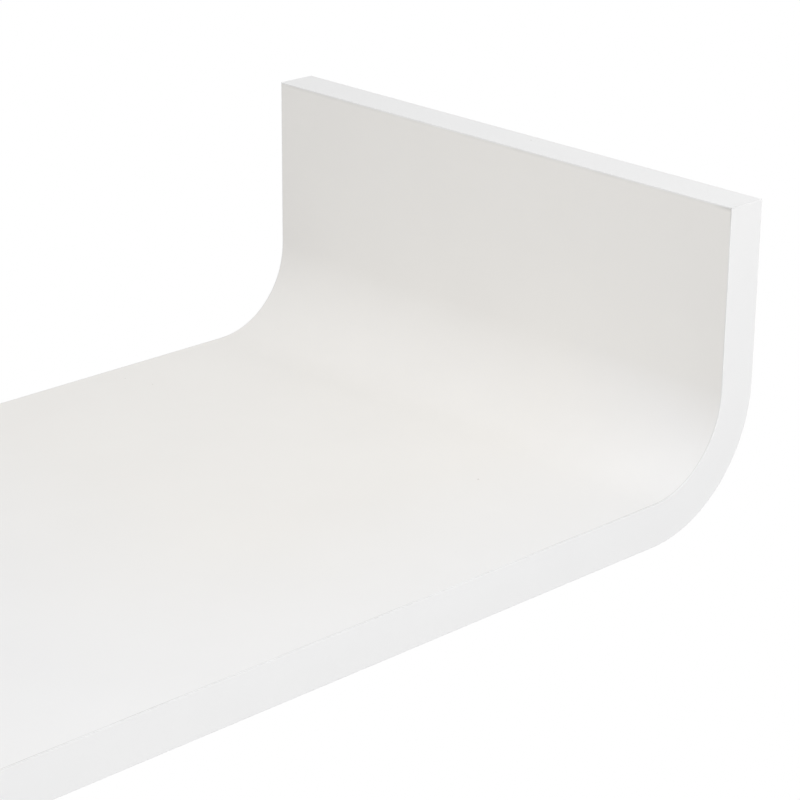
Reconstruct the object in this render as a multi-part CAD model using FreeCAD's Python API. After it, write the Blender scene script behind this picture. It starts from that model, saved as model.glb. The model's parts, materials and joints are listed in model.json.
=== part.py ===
"""Floating wall shelf: a faced board whose ends sweep up into low uprights, hung on two hidden keyhole plates.

Millimetres. The origin is the middle of the deck's rear edge, on the wall. X runs along the wall to the right,
Y into the wall and Z up, so the front edge of the shelf lies at minus Y.
"""
import FreeCAD, Part
import math
import os

from FreeCAD import Vector

# Finished board
LENGTH = 600.0  # outside of one upright to the outside of the other
DEPTH = 230.0  # wall to front edge
HEIGHT = 115.0  # underside of the deck to the top of an upright
BOARD = 16.0  # finished thickness, face to face
BEND_RADIUS = 33.0  # of the finished inner face, between deck and upright

# Facing sheet and edge band
SHEET = 0.8
BAND = 0.5
BAND_ARRIS = 0.2  # bevel of the band's outer corners

# Loose tongues between the core boards
TONGUE_WIDTH = 24.0  # half in each board
TONGUE_THICKNESS = 4.0
TONGUE_CHAMFER = 0.5
TONGUE_FIT = 0.05  # glue film on each side of a tongue
TONGUE_EDGE_ROOM = 1.0  # glue room past each long edge of a tongue
TONGUE_END_ROOM = 1.0  # glue room past each end of a tongue
GROOVE_STOP = 25.0  # front and rear edges of the core to the ends of a groove
BEND_LEG_SPARE = 5.0  # straight length of a bend past its groove

# Keyhole plate, let into the rear edge of each upright
PLATE_WIDTH = 12.0
PLATE_LENGTH = 40.0
PLATE_THICKNESS = 1.6
PLATE_SET_BACK = 0.2  # back of the plate behind the band's face
PLATE_FIT = 0.15  # gap round the plate in its seat
PLATE_TOP_MARGIN = 6.0  # top of the upright to the top of the plate
KEYHOLE_TRAVEL = 10.0  # centre of the entry hole to the seat at the top of the slot
ENTRY_CLEARANCE = 0.5  # round the screw head in the entry hole
SLOT_CLEARANCE = 0.25  # round the screw shank in the slot

# Countersunk screws that hold a plate
PLATE_SCREW_SPACING = 30.0
PLATE_SCREW_DIAMETER = 3.0
PLATE_SCREW_HEAD = 5.6
PLATE_SCREW_LENGTH = 16.0
PLATE_SCREW_POINT = 3.0
PLATE_SCREW_FIT = 0.05  # round the screw in the plate and in the wood
PILOT_END_ROOM = 1.0

# Pan-head wall screw
WALL_SCREW_DIAMETER = 4.0
WALL_SCREW_LENGTH = 38.0  # under the head
WALL_SCREW_POINT = 4.0
WALL_HEAD_DIAMETER = 7.5
WALL_HEAD_HEIGHT = 2.8
WALL_HEAD_SIDE = 1.4  # straight side of the head under its bevel
WALL_HEAD_CROWN = 4.8  # flat top of the head
WALL_HEAD_GAP = 0.3  # head to plate
POCKET_CLEARANCE = 0.75  # round the head in the pocket behind the plate
POCKET_END_ROOM = 1.5  # past the top of the head

# Wall plug
PLUG_DIAMETER = 8.0
PLUG_LENGTH = 40.0
PLUG_SET_IN = 0.3  # rim below the wall's surface
PLUG_COLLAR = 12.0
PLUG_RIBS = 2
PLUG_RIB_PITCH = 9.5
PLUG_RIB_DIAMETER = 7.6
PLUG_GROOVE_DIAMETER = 6.6
PLUG_GROOVE_WIDTH = 3.0
PLUG_NOSE_DIAMETER = 6.0
PLUG_NOSE_WALL = 2.0
PLUG_BORE_FIT = 0.05  # round the screw
PLUG_SLIT = 1.0

# Places that follow from the sizes above
CORE = BOARD - 2 * SHEET
TOP = HEIGHT - BOARD / 2
BEND_X = LENGTH / 2 - BOARD - BEND_RADIUS  # axis of the right bend
BEND_Z = BOARD / 2 + BEND_RADIUS
UPRIGHT_X = LENGTH / 2 - BOARD / 2  # middle plane of the right upright
CORE_FRONT = -DEPTH + BAND
CORE_REAR = -BAND
CORE_DEPTH = CORE_REAR - CORE_FRONT
CORE_TOP = TOP - BAND
BEND_LEG = TONGUE_WIDTH / 2 + TONGUE_EDGE_ROOM + BEND_LEG_SPARE
DECK_JOINT_X = BEND_X - BEND_LEG
UPRIGHT_JOINT_Z = BEND_Z + BEND_LEG
PLATE_REAR = -PLATE_SET_BACK
PLATE_FRONT = PLATE_REAR - PLATE_THICKNESS
PLATE_Z = TOP - PLATE_TOP_MARGIN - PLATE_LENGTH / 2
SEAT_Z = PLATE_Z + KEYHOLE_TRAVEL / 2  # axis of the wall screw, shelf hung
ENTRY_Z = SEAT_Z - KEYHOLE_TRAVEL
HEAD_UNDER = PLATE_FRONT - WALL_HEAD_GAP
POCKET_END = HEAD_UNDER - WALL_HEAD_HEIGHT - POCKET_END_ROOM

ALONG_X = Vector(1, 0, 0)
ALONG_Y = Vector(0, 1, 0)
ALONG_Z = Vector(0, 0, 1)
DECK_JOINT = Vector(DECK_JOINT_X, 0, 0)
UPRIGHT_JOINT = Vector(UPRIGHT_X, 0, UPRIGHT_JOINT_Z)


def mirrored(shape):
    """The same piece at the left end."""
    return shape.mirror(Vector(0, 0, 0), ALONG_X)


def prism(edges, front, rear):
    """Solid between two Y planes over an outline in the XZ plane."""
    face = Part.Face(Part.Wire([edge.toShape() for edge in edges]))
    solid = face.extrude(Vector(0, rear - front, 0))
    solid.translate(Vector(0, front, 0))
    return solid


def bent_strip(near, far, deck_leg, upright_leg, front, rear):
    """Strip along the deck, round the right bend and up the upright.

    near and far are its distances outside the finished inner face, and the legs its straight lengths
    either side of the bend.
    """
    inner = BEND_RADIUS + near
    outer = BEND_RADIUS + far
    slant = math.sqrt(0.5)

    def at(x, z):
        return Vector(BEND_X + x, 0, BEND_Z + z)

    edges = [
        Part.LineSegment(at(-deck_leg, -inner), at(0, -inner)),
        Part.Arc(at(0, -inner), at(inner * slant, -inner * slant), at(inner, 0)),
        Part.LineSegment(at(inner, 0), at(inner, upright_leg)),
        Part.LineSegment(at(inner, upright_leg), at(outer, upright_leg)),
        Part.LineSegment(at(outer, upright_leg), at(outer, 0)),
        Part.Arc(at(outer, 0), at(outer * slant, -outer * slant), at(0, -outer)),
        Part.LineSegment(at(0, -outer), at(-deck_leg, -outer)),
        Part.LineSegment(at(-deck_leg, -outer), at(-deck_leg, -inner)),
    ]
    return prism(edges, front, rear)


def whole_profile(near, far, top, front, rear):
    """Strip from the top of the left upright to the top of the right one."""
    right_half = bent_strip(near, far, BEND_X, top - BEND_Z, front, rear)
    return right_half.fuse(mirrored(right_half)).removeSplitter()


def upright_slot(width, low_z, high_z, front, rear):
    """Round-ended prism in the middle of the right upright, between two arc centres."""
    half = width / 2

    def at(x, z):
        return Vector(UPRIGHT_X + x, 0, z)

    edges = [
        Part.LineSegment(at(half, low_z), at(half, high_z)),
        Part.Arc(at(half, high_z), at(0, high_z + half), at(-half, high_z)),
        Part.LineSegment(at(-half, high_z), at(-half, low_z)),
        Part.Arc(at(-half, low_z), at(0, low_z - half), at(half, low_z)),
    ]
    return prism(edges, front, rear)


def turned(edges, z):
    """Piece turned about the wall screw's direction at a height in the right upright.

    The outline's X is the radius and its Y the place along the axis.
    """
    face = Part.Face(Part.Wire([edge.toShape() for edge in edges]))
    solid = face.revolve(Vector(0, 0, 0), ALONG_Y, 360)
    solid.translate(Vector(UPRIGHT_X, 0, z))
    return solid


def closed_run(points):
    """Straight edges through radius and place pairs, back to the first."""
    corners = [Vector(radius, place, 0) for radius, place in points]
    return [Part.LineSegment(a, b) for a, b in zip(corners, corners[1:] + corners[:1])]


def joint_bar(joint, direction, half_width, thickness, stop):
    """Flat bar along a joint line, half of it in each of the two boards.

    joint is the point of the joint line on the board's middle plane, direction points across the joint, and
    stop is the distance of the bar's ends from the front and rear edges of the core.
    """
    across = direction.cross(ALONG_Y)
    spread = direction * half_width + across * (thickness / 2)
    low = joint - spread + Vector(0, CORE_FRONT + stop, 0)
    high = joint + spread + Vector(0, CORE_REAR - stop, 0)
    box = FreeCAD.BoundBox(low, high)
    return Part.makeBox(box.XLength, box.YLength, box.ZLength, Vector(box.XMin, box.YMin, box.ZMin))


def tongue(joint, direction):
    """Loose tongue with its long corners chamfered."""
    stop = GROOVE_STOP + TONGUE_END_ROOM
    bar = joint_bar(joint, direction, TONGUE_WIDTH / 2, TONGUE_THICKNESS, stop)
    long_edges = [edge for edge in bar.Edges if edge.BoundBox.YLength > CORE_DEPTH / 2]
    return bar.makeChamfer(TONGUE_CHAMFER, long_edges)


def groove(joint, direction):
    """The room for one joint's tongue, cut into both boards."""
    half_width = TONGUE_WIDTH / 2 + TONGUE_EDGE_ROOM
    return joint_bar(joint, direction, half_width, TONGUE_THICKNESS + 2 * TONGUE_FIT, GROOVE_STOP)


def plate_screw_heights():
    """Z places of the screws in a keyhole plate."""
    return (PLATE_Z - PLATE_SCREW_SPACING / 2, PLATE_Z + PLATE_SCREW_SPACING / 2)


def plate_blank(fit, front, rear):
    """Round-ended outline of a keyhole plate, grown by a fit."""
    half_run = (PLATE_LENGTH - PLATE_WIDTH) / 2
    return upright_slot(PLATE_WIDTH + 2 * fit, PLATE_Z - half_run, PLATE_Z + half_run, front, rear)


def plate_screw(z, fit):
    """Countersunk screw, flush with the back of its plate, grown by a fit for its hole."""
    radius = PLATE_SCREW_DIAMETER / 2
    head = PLATE_SCREW_HEAD / 2
    tip = PLATE_REAR - PLATE_SCREW_LENGTH
    outline = [
        (0, PLATE_REAR),
        (head + fit, PLATE_REAR),
        (radius + fit, PLATE_REAR - head + radius),
        (radius + fit, tip + PLATE_SCREW_POINT),
        (0, tip),
    ]
    return turned(closed_run(outline), z)


def pilot_hole(z):
    """Plain hole in the wood for a plate screw."""
    radius = PLATE_SCREW_DIAMETER / 2 + PLATE_SCREW_FIT
    start = Vector(UPRIGHT_X, PLATE_REAR, z)
    return Part.makeCylinder(radius, PLATE_SCREW_LENGTH + PILOT_END_ROOM, start, -ALONG_Y)


def hanger_cuts():
    """Everything cut into the wood of the right upright for its keyhole plate."""
    seat = plate_blank(PLATE_FIT, PLATE_FRONT, 0)
    pocket_width = WALL_HEAD_DIAMETER + 2 * POCKET_CLEARANCE
    pocket = upright_slot(pocket_width, ENTRY_Z, SEAT_Z, POCKET_END, 0)
    pilots = [pilot_hole(z) for z in plate_screw_heights()]
    return Part.makeCompound([seat, pocket] + pilots)


def deck_core():
    """Flat board between the two bends."""
    corner = Vector(-DECK_JOINT_X, CORE_FRONT, -CORE / 2)
    board = Part.makeBox(2 * DECK_JOINT_X, CORE_DEPTH, CORE, corner)
    right_groove = groove(DECK_JOINT, ALONG_X)
    return board.cut(right_groove).cut(mirrored(right_groove))


def right_bend_core():
    """Moulded quarter bend with a straight leg for the tongue at each end."""
    bend = bent_strip(SHEET, BOARD - SHEET, BEND_LEG, BEND_LEG, CORE_FRONT, CORE_REAR)
    bend = bend.cut(groove(DECK_JOINT, ALONG_X)).cut(groove(UPRIGHT_JOINT, ALONG_Z))
    return bend.cut(hanger_cuts())


def right_upright_core():
    """Flat board above the bend, with the seat and pocket of the keyhole plate in its rear edge."""
    corner = Vector(UPRIGHT_X - CORE / 2, CORE_FRONT, UPRIGHT_JOINT_Z)
    board = Part.makeBox(CORE, CORE_DEPTH, CORE_TOP - UPRIGHT_JOINT_Z, corner)
    return board.cut(groove(UPRIGHT_JOINT, ALONG_Z)).cut(hanger_cuts())


def edge_band(outer_face, inner_face):
    """Band over the whole profile, bevelled round its outer face."""
    front = min(outer_face, inner_face)
    band = whole_profile(0, BOARD, TOP, front, front + BAND)

    def is_outer_corner(edge):
        return abs(edge.BoundBox.YMin - outer_face) + abs(edge.BoundBox.YMax - outer_face) < BAND_ARRIS / 2

    return band.makeChamfer(BAND_ARRIS, [edge for edge in band.Edges if is_outer_corner(edge)])


def rear_edge_band():
    """Rear band, cut out round both keyhole plates."""
    band = edge_band(0, -BAND)
    window = plate_blank(PLATE_FIT, -BAND, 0)
    return band.cut(window).cut(mirrored(window))


def right_top_edge_band():
    """Band on top of the upright, between the front and rear bands."""
    corner = Vector(UPRIGHT_X - BOARD / 2, CORE_FRONT, CORE_TOP)
    band = Part.makeBox(BOARD, CORE_DEPTH, BAND, corner)

    def is_top_arris(edge):
        box = edge.BoundBox
        return box.ZMin > TOP - BAND / 2 and box.YLength > CORE_DEPTH / 2

    return band.makeChamfer(BAND_ARRIS, [edge for edge in band.Edges if is_top_arris(edge)])


def right_keyhole_plate():
    """Round-ended steel plate with a keyhole and two countersunk holes."""
    plate = plate_blank(0, PLATE_FRONT, PLATE_REAR)
    entry_radius = WALL_HEAD_DIAMETER / 2 + ENTRY_CLEARANCE
    entry_start = Vector(UPRIGHT_X, PLATE_FRONT, ENTRY_Z)
    entry = Part.makeCylinder(entry_radius, PLATE_THICKNESS, entry_start, ALONG_Y)
    slot_width = WALL_SCREW_DIAMETER + 2 * SLOT_CLEARANCE
    slot = upright_slot(slot_width, ENTRY_Z, SEAT_Z, PLATE_FRONT, PLATE_REAR)
    screw_holes = [plate_screw(z, PLATE_SCREW_FIT) for z in plate_screw_heights()]
    return plate.cut(entry).cut(slot).cut(Part.makeCompound(screw_holes))


def right_plate_screws():
    """The two countersunk screws of a keyhole plate."""
    return Part.makeCompound([plate_screw(z, 0) for z in plate_screw_heights()])


def right_wall_screw():
    """Pan-head screw whose shank stands in the top of the keyhole's slot."""
    head = WALL_HEAD_DIAMETER / 2
    shank = WALL_SCREW_DIAMETER / 2
    crown = HEAD_UNDER - WALL_HEAD_HEIGHT
    tip = HEAD_UNDER + WALL_SCREW_LENGTH
    outline = [
        (0, crown),
        (WALL_HEAD_CROWN / 2, crown),
        (head, HEAD_UNDER - WALL_HEAD_SIDE),
        (head, HEAD_UNDER),
        (shank, HEAD_UNDER),
        (shank, tip - WALL_SCREW_POINT),
        (0, tip),
    ]
    return turned(closed_run(outline), SEAT_Z)


def right_wall_plug():
    """Plug with a plain collar, a ribbed length split by one slit, and a closed nose."""
    radius = PLUG_DIAMETER / 2
    rib = PLUG_RIB_DIAMETER / 2
    groove_radius = PLUG_GROOVE_DIAMETER / 2
    nose_radius = PLUG_NOSE_DIAMETER / 2
    bore = WALL_SCREW_DIAMETER / 2 + PLUG_BORE_FIT
    rim = PLUG_SET_IN
    ribs_start = rim + PLUG_COLLAR
    ribs_length = PLUG_RIBS * PLUG_RIB_PITCH
    ribs_end = ribs_start + ribs_length
    nose = rim + PLUG_LENGTH
    outline = [(bore, rim), (radius, rim), (radius, ribs_start)]
    for i in range(PLUG_RIBS):
        groove_start = ribs_start + i * PLUG_RIB_PITCH
        groove_end = groove_start + PLUG_GROOVE_WIDTH
        outline += [(groove_radius, groove_start), (groove_radius, groove_end)]
        outline += [(rib, groove_end), (rib, groove_start + PLUG_RIB_PITCH)]
    outline += [
        (nose_radius, ribs_end),
        (nose_radius, nose),
        (0, nose),
        (0, nose - PLUG_NOSE_WALL),
        (bore, nose - PLUG_NOSE_WALL),
    ]
    plug = turned(closed_run(outline), SEAT_Z)
    slit_corner = Vector(UPRIGHT_X - PLUG_SLIT / 2, ribs_start, SEAT_Z - radius)
    return plug.cut(Part.makeBox(PLUG_SLIT, ribs_length, PLUG_DIAMETER, slit_corner))


def both_ends(name, right):
    """A piece of the right end and its mirror image at the left end."""
    return {f"right_{name}": right, f"left_{name}": mirrored(right)}


def shelf_pieces():
    """Every piece of the shelf by name."""
    return {
        "deck_core": deck_core(),
        **both_ends("bend_core", right_bend_core()),
        **both_ends("upright_core", right_upright_core()),
        **both_ends("deck_tongue", tongue(DECK_JOINT, ALONG_X)),
        **both_ends("upright_tongue", tongue(UPRIGHT_JOINT, ALONG_Z)),
        "inner_face_sheet": whole_profile(0, SHEET, CORE_TOP, CORE_FRONT, CORE_REAR),
        "outer_face_sheet": whole_profile(BOARD - SHEET, BOARD, CORE_TOP, CORE_FRONT, CORE_REAR),
        "front_edge_band": edge_band(-DEPTH, CORE_FRONT),
        "rear_edge_band": rear_edge_band(),
        **both_ends("top_edge_band", right_top_edge_band()),
        **both_ends("keyhole_plate", right_keyhole_plate()),
        **both_ends("plate_screws", right_plate_screws()),
        **both_ends("wall_screw", right_wall_screw()),
        **both_ends("wall_plug", right_wall_plug()),
    }


def main():
    """Write one file per piece."""
    os.makedirs("parts", exist_ok=True)
    for name, shape in shelf_pieces().items():
        shape.exportStep(f"parts/{name}.step")


if __name__ == "__main__":
    main()
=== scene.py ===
"""Looks of the floating wall shelf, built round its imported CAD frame.

Metres, in the part's own frame: the origin is the middle of the deck's rear edge on the wall, X runs along
the wall to the right, Y into the wall and Z up. The face sheets, the front and top bands, the screws and the
plugs are worked out here as fine surfaces. The boards inside, the rear band and the keyhole plates are the
CAD solids, each with a finish of its own.
"""
from __future__ import annotations

import json
import logging
import math
from abc import ABC, abstractmethod
from dataclasses import dataclass
from enum import Enum

import bpy
import numpy as np
import numpy.typing as npt
from mathutils import Matrix, Vector

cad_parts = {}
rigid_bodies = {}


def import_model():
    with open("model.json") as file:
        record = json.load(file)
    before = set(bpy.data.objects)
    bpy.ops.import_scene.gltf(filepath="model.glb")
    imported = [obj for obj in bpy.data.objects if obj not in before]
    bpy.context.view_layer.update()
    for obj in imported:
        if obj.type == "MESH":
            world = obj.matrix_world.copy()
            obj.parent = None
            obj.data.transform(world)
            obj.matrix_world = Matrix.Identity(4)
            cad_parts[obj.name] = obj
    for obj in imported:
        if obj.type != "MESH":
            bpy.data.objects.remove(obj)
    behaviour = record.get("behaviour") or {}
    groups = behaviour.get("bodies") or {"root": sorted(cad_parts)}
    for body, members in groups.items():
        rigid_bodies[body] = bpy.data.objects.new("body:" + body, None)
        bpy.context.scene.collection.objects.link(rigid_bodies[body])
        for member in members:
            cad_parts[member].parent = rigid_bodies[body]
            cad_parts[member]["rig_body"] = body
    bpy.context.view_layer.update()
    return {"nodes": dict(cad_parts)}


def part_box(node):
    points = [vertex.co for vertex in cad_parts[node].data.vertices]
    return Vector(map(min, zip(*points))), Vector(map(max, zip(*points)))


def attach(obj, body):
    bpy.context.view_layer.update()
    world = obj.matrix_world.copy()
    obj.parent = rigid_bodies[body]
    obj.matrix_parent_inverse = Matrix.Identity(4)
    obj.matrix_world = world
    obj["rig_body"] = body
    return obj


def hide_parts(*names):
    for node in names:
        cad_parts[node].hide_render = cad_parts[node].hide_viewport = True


LOG = logging.getLogger("shelf")

Array = npt.NDArray[np.float64]
Colour = tuple[float, float, float]
Point = tuple[float, float, float]
Piece = bpy.types.Object
Material = bpy.types.Material
Node = bpy.types.Node
Tree = bpy.types.NodeTree
Socket = bpy.types.NodeSocket
SocketValue = Socket | float | tuple[float, ...]
Sockets = dict[str | int, SocketValue]


class End(Enum):
    """The two ends of the shelf, with the sign of X there."""

    LEFT = -1.0
    RIGHT = 1.0

    def named(self, name: str) -> str:
        """Name of a piece at this end."""
        return f"{self.name.lower()}_{name}"


class Layup(Enum):
    """The way the veneers of a plywood piece lie."""

    FLAT = "flat"
    UPRIGHT = "upright"
    BENT = "bent"


@dataclass(frozen=True)
class ShelfSizes:
    """Sizes of the finished board and places of its fixings.

    The boxes of the CAD solids give all of them but the last few: the radius of the bends' inner face, the
    rounds of the arrises and of the joint lines, and how far dust spreads from a joint line and from the one
    under a top band.
    """

    length: float
    depth: float
    top: float
    board: float
    sheet: float
    band: float
    plate_back: float
    plate_height: float
    hanging_height: float
    hanging_head_top: float
    plug_rim: float
    bend_radius: float = 0.033
    arris: float = 0.0002
    joint_round: float = 0.00002
    joint_stain: float = 0.00015
    top_stain: float = 0.0012

    @classmethod
    def from_frame(cls) -> ShelfSizes:
        """Reads the sizes off the boxes of the CAD solids.

        Returns:
            The sizes.
        """
        front_low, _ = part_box("front_edge_band")
        core_low, core_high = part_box("deck_core")
        band_low, band_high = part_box("right_top_edge_band")
        plate_low, plate_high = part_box("right_keyhole_plate")
        screw_low, screw_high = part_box("right_wall_screw")
        plug_low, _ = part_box("right_wall_plug")
        board = band_high.x - band_low.x
        return cls(
            length=2.0 * band_high.x,
            depth=-front_low.y,
            top=band_high.z,
            board=board,
            sheet=(board - (core_high.z - core_low.z)) / 2,
            band=band_high.z - band_low.z,
            plate_back=plate_high.y,
            plate_height=(plate_low.z + plate_high.z) / 2,
            hanging_height=(screw_low.z + screw_high.z) / 2,
            hanging_head_top=screw_low.y,
            plug_rim=plug_low.y,
        )

    @property
    def inner_x(self) -> float:
        """Inner face of the right upright."""
        return self.length / 2 - self.board

    @property
    def upright_x(self) -> float:
        """Middle plane of the right upright."""
        return self.length / 2 - self.board / 2

    @property
    def bend_x(self) -> float:
        """Axis of the right bend, across."""
        return self.inner_x - self.bend_radius

    @property
    def bend_z(self) -> float:
        """Axis of both bends, up."""
        return self.board / 2 + self.bend_radius

    @property
    def core_front(self) -> float:
        """Front edge of the boards and sheets, behind the front band."""
        return -self.depth + self.band

    @property
    def core_rear(self) -> float:
        """Rear edge of the boards and sheets, in front of the rear band."""
        return -self.band

    @property
    def core_top(self) -> float:
        """Top of the sheets, under the top bands."""
        return self.top - self.band


# Surfaces

DECK_STEPS = 12
BEND_STEPS = 48
UPRIGHT_STEPS = 6
STATION_HOLD = 0.0003  # a short flat step at each end of a bend keeps the flat faces' shading flat
LAND = 0.00005  # flat step beside a round, so that a mark on the round stays on it
SHARP_ANGLE = math.radians(32.0)

# A quarter round in even turns: on each axis, the share of its radius that is left to its end.
ROUND_STEPS = 5
ROUND_TURN = np.linspace(0.0, math.pi / 2, ROUND_STEPS + 1)
SINE_LEFT = 1.0 - np.sin(ROUND_TURN)
COSINE_LEFT = 1.0 - np.cos(ROUND_TURN)


def smooth_step(low: float, high: float, value: Array) -> Array:
    """Smooth rise from 0 at low to 1 at high: three t squared less two t cubed, t the share of the way."""
    share = np.clip((value - low) / (high - low), 0.0, 1.0)
    return share * share * (3.0 - 2.0 * share)


def round_fall(radius: float, to_end: Array) -> Array:
    """Fall of a quarter-round end: the radius less the circle's height at that distance from the end."""
    reach = np.clip(radius - to_end, 0.0, radius)
    return radius - np.sqrt(radius * radius - reach * reach)


@dataclass(frozen=True)
class ShelfLine:
    """The finished inner face seen from the front: stations from the left top over the deck to the right top.

    x and z are the places, nx and nz point out of the bay into the board, and along is the length measured
    from the middle of the deck.
    """

    x: Array
    z: Array
    nx: Array
    nz: Array
    along: Array

    @classmethod
    def to_height(cls, sizes: ShelfSizes, top: float, end_round: float, land: float) -> ShelfLine:
        """Works out the line: straight along the deck, a quarter circle, straight up, and the same mirrored.

        Args:
            sizes: the shelf's sizes.
            top: height at which the line ends on both sides.
            end_round: radius of the rounds that the piece has at its two ends.
            land: length of the flat step beside those rounds.

        Returns:
            The line.
        """
        radius = sizes.bend_radius
        deck = np.append(np.linspace(0.0, sizes.bend_x - STATION_HOLD, DECK_STEPS), sizes.bend_x)
        turn = np.linspace(0.0, math.pi / 2, BEND_STEPS + 1)[1:]
        rise = top - sizes.bend_z
        straight = np.linspace(STATION_HOLD, rise - end_round - land, UPRIGHT_STEPS)
        upright = np.append(straight, rise - end_round * SINE_LEFT)
        on_deck, on_upright = np.ones_like(deck), np.ones_like(upright)
        arc = sizes.bend_x + radius * turn
        right_half = (
            (deck, sizes.bend_x + radius * np.sin(turn), sizes.inner_x * on_upright),
            (sizes.board / 2 * on_deck, sizes.bend_z - radius * np.cos(turn), sizes.bend_z + upright),
            (0.0 * on_deck, np.sin(turn), on_upright),
            (-on_deck, -np.cos(turn), 0.0 * on_upright),
            (deck, arc, arc[-1] + upright),
        )
        half = np.array([np.concatenate(stretches) for stretches in right_half])
        signs = np.array([-1.0, 1.0, -1.0, 1.0, -1.0])[:, None]
        return cls(*np.concatenate([signs * half[:, :0:-1], half], axis=1))

    @property
    def to_end(self) -> Array:
        """Length left to the nearer end."""
        return self.along[-1] - np.abs(self.along)

    @property
    def level(self) -> Array:
        """1 where the line is level and 0 where it is upright."""
        return np.abs(self.nz)

    def carried(self, offset: Array, y: Array) -> Array:
        """Carries a profile along the line: station plus normal times offset, at depth y.

        Args:
            offset: distance outside the inner face, by station and profile point.
            y: place along Y, by station and profile point.

        Returns:
            Points, by station and profile point.
        """
        offset, y = np.broadcast_arrays(offset, y)
        x = self.x[:, None] + self.nx[:, None] * offset
        z = self.z[:, None] + self.nz[:, None] * offset
        return np.stack([x, y, z], axis=-1)


# The same share scales the painted shade on the arrises of the top bands and on the front band's face at both
# tops.
UPRIGHT_DUST_AND_SHADE = 0.5  # share of a level joint's dust that an upright one holds
TOP_DUST = 0.3  # and the share under a top band, where it spreads further


def settled(line: ShelfLine) -> Array:
    """How much dust a joint along the line holds: all of it where the line is level, a share where upright.
    """
    return UPRIGHT_DUST_AND_SHADE + (1.0 - UPRIGHT_DUST_AND_SHADE) * line.level


def tube_faces(rings: Array, start: int) -> list[list[int]]:
    """Faces of a closed tube, all looking outwards: quads between its rings and a flat cap at each end.

    The quads join point c of ring r to point c + 1 and to the next ring. The sum of each triangle's triple
    product is six times the signed volume, and a negative one turns every face round.

    Args:
        rings: points by ring and place round the ring.
        start: number of the tube's first point in the mesh.

    Returns:
        The numbers of each face's points.
    """
    ring_count, around, _ = rings.shape
    corner = np.arange(ring_count * around).reshape(ring_count, around)
    following = np.roll(corner, -1, axis=1)
    quads = np.stack([corner[:-1], following[:-1], following[1:], corner[1:]], axis=-1).reshape(-1, 4)
    caps = (corner[0, ::-1], corner[-1])
    fans = [np.stack([np.full(around - 2, cap[0]), cap[1:-1], cap[2:]], axis=-1) for cap in caps]
    triangles = np.concatenate([quads[:, [0, 1, 2]], quads[:, [0, 2, 3]], *fans])
    a, b, c = rings.reshape(-1, 3)[triangles.T]
    volume = np.einsum("ij,ij->", a, np.cross(b, c))
    step = 1 if volume > 0.0 else -1
    return [*(quads[:, ::step] + start).tolist(), *((cap[::step] + start).tolist() for cap in caps)]


def tube_piece(name: str, tubes: list[Array], marks: dict[str, Array] | None = None) -> Piece:
    """Makes one piece of closed tubes, smooth but for its sharp edges.

    Args:
        name: name of the piece.
        tubes: the points of each tube, by ring and place round the ring.
        marks: numbers by point, under the names that the material reads them by.

    Returns:
        The piece, at the origin.
    """
    points = [rings.reshape(-1, 3) for rings in tubes]
    starts = np.cumsum([0, *map(len, points)])
    faces = [face for rings, start in zip(tubes, starts) for face in tube_faces(rings, start)]
    mesh = bpy.data.meshes.new(name)
    mesh.from_pydata(np.concatenate(points).tolist(), [], faces)
    mesh.shade_smooth()
    mesh.set_sharp_from_angle(angle=SHARP_ANGLE)
    for mark, values in (marks or {}).items():
        attribute = mesh.attributes.new(mark, "FLOAT", "POINT")
        attribute.data.foreach_set("value", values.astype(np.float32).ravel())
    made = bpy.data.objects.new(name, mesh)
    bpy.context.scene.collection.objects.link(made)
    return made


# Node trees

MIX_FIRST, MIX_SECOND, MIX_RESULT = 6, 7, 2  # the colour sockets of a Mix node


def opaque(colour: Colour) -> tuple[float, float, float, float]:
    """Colour with full alpha."""
    return (*colour, 1.0)


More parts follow.
